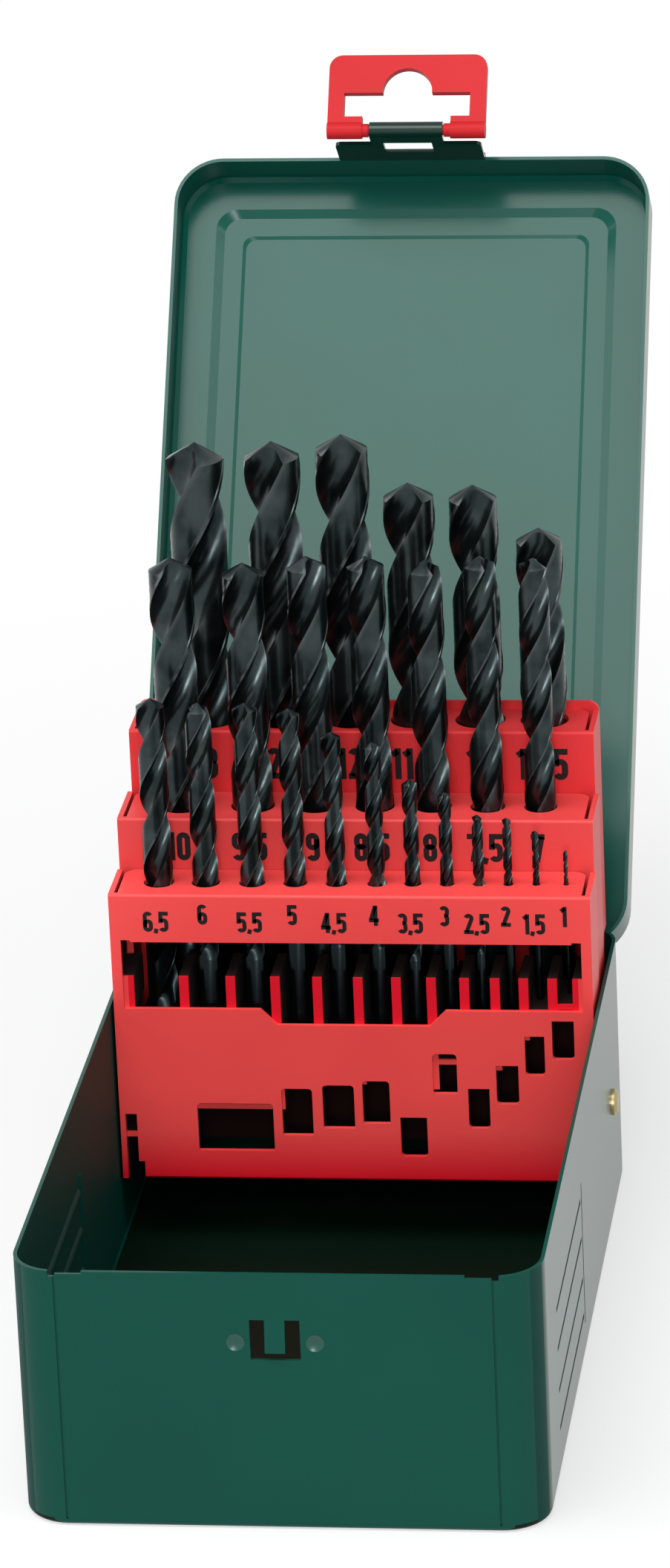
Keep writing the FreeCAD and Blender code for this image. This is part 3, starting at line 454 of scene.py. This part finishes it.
def digit_strokes():
    """Centre lines of condensed digits, one unit high and centred on x = 0."""
    r = (DIGIT_WIDTH - DIGIT_STROKE) / 2
    top, bottom = 1 - DIGIT_STROKE / 2, DIGIT_STROKE / 2
    upper, lower, waist = top - r, bottom + r, 0.52
    left, right = -DIGIT_WIDTH / 2, DIGIT_WIDTH / 2
    bowl_end = arc(lower, r, 0, -160)
    six = [arc(waist - r, r, 0, 180) + arc(lower, r, 180, 360) + [(r, waist - r)],
           arc(upper, r, 20, 180) + [(-r, lower)]]
    return {
        "0": [arc(upper, r, 0, 180) + arc(lower, r, 180, 360) + [(r, upper)]],
        "1": [[(0.05, 0), (0.05, 1)], [(0.05, top), (-0.13, 0.78)]],
        "2": [arc(upper, r, 165, -20) + [(-0.8 * r, bottom)], [(left, bottom), (right, bottom)]],
        "3": [arc(upper, r, 160, 0) + arc(waist + r, r, 0, -90),
              arc(waist - r, r, 90, 0) + bowl_end],
        "4": [[(0.6 * r, 0), (0.6 * r, 1)], [(0.5 * r, 0.96), (-r, 0.30)],
              [(left, 0.27), (right, 0.27)]],
        "5": [[(right, top), (-0.9 * r, top), (-r, waist - 0.6 * r)],
              arc(waist + 0.06 - r, r, 150, 0) + bowl_end],
        "6": six,
        "7": [[(left, top), (right, top)], [(r, top), (-0.35 * r, 0)]],
        "8": [arc(upper, r, 0, 180) + arc(waist + r, r, 180, 360) + [(r, upper)],
              arc(waist - r, r, 0, 180) + arc(lower, r, 180, 360) + [(r, waist - r)]],
        "9": [[(-x, 1 - y) for x, y in stroke] for stroke in six],
        ",": [[(0.03, 0.15), (-0.03, -0.07)]],
    }


def stroke_band(line):
    """Quads along a centre line, with mitred corners."""
    closed = math.dist(line[0], line[-1]) < 1e-6
    points, faces = [], []
    for i, (x, y) in enumerate(line):
        before = line[i - 1] if i > 0 else (line[-2] if closed else None)
        after = line[i + 1] if i + 1 < len(line) else (line[1] if closed else None)
        ways = [Vector((x - before[0], y - before[1])).normalized()] if before else []
        ways += [Vector((after[0] - x, after[1] - y)).normalized()] if after else []
        way = sum(ways, Vector((0, 0))).normalized()
        reach = DIGIT_STROKE / 2 / max(0.5, way.dot(ways[0]))
        points += [(x - way.y * reach, y + way.x * reach), (x + way.y * reach, y - way.x * reach)]
        if i > 0:
            faces.append((2 * i - 2, 2 * i - 1, 2 * i + 1, 2 * i))
    return points, faces


def outline_of(text):
    """Flat mesh of a number one unit high, centred on x = 0."""
    strokes = digit_strokes()
    widths = [NARROW_WIDTHS.get(sign, DIGIT_WIDTH) for sign in text]
    x = -(sum(widths) + DIGIT_SPACE * (len(text) - 1)) / 2
    points, faces = [], []
    for sign, width in zip(text, widths):
        for line in strokes[sign]:
            band, quads = stroke_band(line)
            faces += [tuple(len(points) + i for i in quad) for quad in quads]
            points += [(px + x + width / 2, py) for px, py in band]
        x += width + DIGIT_SPACE
    return points, faces


def print_size(node):
    """Number of the drill's diameter on the face of its step, under the hole."""
    size = float(node[len("drill_"):].replace("_", "."))
    low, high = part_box(node)
    centre_x, centre_y = (low.x + high.x) / 2, (low.y + high.y) / 2
    step = min(STEPS_OF_RACK,
               key=lambda s: abs((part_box(s)[0].y - centre_y) + HOLES_BEHIND_FACE))
    lip, height, drop = (value * MM for value in STEPS_OF_RACK[step])
    face_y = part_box(step)[0].y - PRINT_LIFT
    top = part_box(step)[1].z - lip - drop
    is_half = size != int(size)
    if is_half and step == "rack_front":
        top -= HALF_SIZE_DROP
    text = ("%.1f" % size).replace(".", ",") if is_half else "%d" % size
    points, faces = outline_of(text)
    placed = [(centre_x + x * height, face_y, top - height + y * height) for x, y in points]
    number = add_mesh("size_" + node[len("drill_"):], placed, faces, ink)
    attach(number, "rack")


for name in drills:
    print_size(name)


# ---------------------------------------------------------------- floor, lights and camera
FLOOR_HALF = 6.0
FLOOR_SHADE = (0.12, 0.50, 0.60, 1.0)  # distances, m, between which the white grows, its shares
FLOOR_ROUGHNESS = 0.9
ROOM_COLOUR = (0.95, 0.97, 1.0)
ROOM_STRENGTH = 0.22
MIDDLE = (0.0, 0.05, 0.10)
SOFTBOXES = {                  # name: (place, aim, width, height, watts)
    "key": ((-0.18, -0.375, 1.275), (0.0, 0.15, 0.12), 0.90, 0.80, 16.0),
    "front": ((0.19, -1.95, 0.52), MIDDLE, 0.40, 0.40, 11.0),
    "fill": ((0.15, -1.75, 1.00), MIDDLE, 0.60, 0.60, 8.0),
    "left": ((-1.31, -0.11, 1.00), MIDDLE, 0.60, 0.60, 5.0),
    "right": ((1.09, -0.36, 1.18), MIDDLE, 0.60, 0.60, 5.0),
}
CAMERA_PLACE = Vector((0.20505, -1.46768, 0.69529))
CAMERA_PITCH = math.radians(20.938)
CAMERA_YAW = math.radians(7.781)
CAMERA_ROLL = math.radians(-2.533)
CAMERA_LENS = 171.6            # mm on a 36 mm sensor
CAMERA_NEAR = 0.05


def pale_to_camera(nodes, links, lit, output, share=None):
    """Show white to the camera and to mirrors, all or a share of it, and keep the lit shader."""
    ray = nodes.new("ShaderNodeLightPath").outputs
    seen = math_node(nodes, links, "MAXIMUM", ray["Is Camera Ray"], ray["Is Transmission Ray"])
    seen = math_node(nodes, links, "MAXIMUM", seen, ray["Is Glossy Ray"])
    if share is not None:
        seen = math_node(nodes, links, "MULTIPLY", seen, share)
    plain = nodes.new("ShaderNodeBackground" if share is None else "ShaderNodeEmission")
    plain.inputs["Color"].default_value = (1.0, 1.0, 1.0, 1)
    plain.inputs["Strength"].default_value = 1.0
    mix = nodes.new("ShaderNodeMixShader")
    links.new(seen, mix.inputs["Fac"])
    links.new(lit.outputs[0], mix.inputs[1])
    links.new(plain.outputs[0], mix.inputs[2])
    links.new(mix.outputs["Shader"], output.inputs["Surface"])


def floor_finish():
    """Pale floor that turns to plain white away from the case."""
    material, nodes, links, shader = new_material("floor")
    place = mottled(nodes, links, shader, (0.75, 0.75, 0.75), (0.735, 0.735, 0.735),
                    FLOOR_MOTTLING)
    shader.inputs["Roughness"].default_value = FLOOR_ROUGHNESS
    far = nodes.new("ShaderNodeVectorMath")
    far.operation = "LENGTH"
    links.new(place.outputs["Object"], far.inputs[0])
    share = map_range(nodes, links, far.outputs["Value"], *FLOOR_SHADE)
    pale_to_camera(nodes, links, shader, nodes["Material Output"], share)
    return material


corners = [(-FLOOR_HALF, -FLOOR_HALF, 0), (FLOOR_HALF, -FLOOR_HALF, 0),
           (FLOOR_HALF, FLOOR_HALF, 0), (-FLOOR_HALF, FLOOR_HALF, 0)]
floor = add_mesh("floor", corners, [(0, 1, 2, 3)], floor_finish())


def softbox(name, place, aim, width, height, watts):
    """Rectangular lamp that faces a point."""
    lamp = bpy.data.lights.new(name, "AREA")
    lamp.shape = "RECTANGLE"
    lamp.size, lamp.size_y = width, height
    lamp.energy = watts
    obj = bpy.data.objects.new(name, lamp)
    bpy.context.scene.collection.objects.link(obj)
    obj.location = place
    obj.rotation_euler = (Vector(aim) - Vector(place)).to_track_quat("-Z", "Y").to_euler()


for name, values in SOFTBOXES.items():
    softbox(name, *values)

world = bpy.data.worlds.new("studio")
bpy.context.scene.world = world
world.use_nodes = True
world_nodes, world_links = world.node_tree.nodes, world.node_tree.links
room = world_nodes["Background"]
room.inputs["Color"].default_value = (*ROOM_COLOUR, 1)
room.inputs["Strength"].default_value = ROOM_STRENGTH
pale_to_camera(world_nodes, world_links, room, world_nodes["World Output"])

camera_data = bpy.data.cameras.new("camera")
camera_data.lens = CAMERA_LENS
camera_data.clip_start = CAMERA_NEAR
camera = bpy.data.objects.new("camera", camera_data)
bpy.context.scene.collection.objects.link(camera)
turn = (Matrix.Rotation(CAMERA_YAW, 4, "Z")
        @ Matrix.Rotation(math.pi / 2 - CAMERA_PITCH, 4, "X")
        @ Matrix.Rotation(CAMERA_ROLL, 4, "Z"))
camera.matrix_world = Matrix.Translation(CAMERA_PLACE) @ turn
bpy.context.scene.camera = camera
bpy.context.scene.view_settings.view_transform = "Standard"
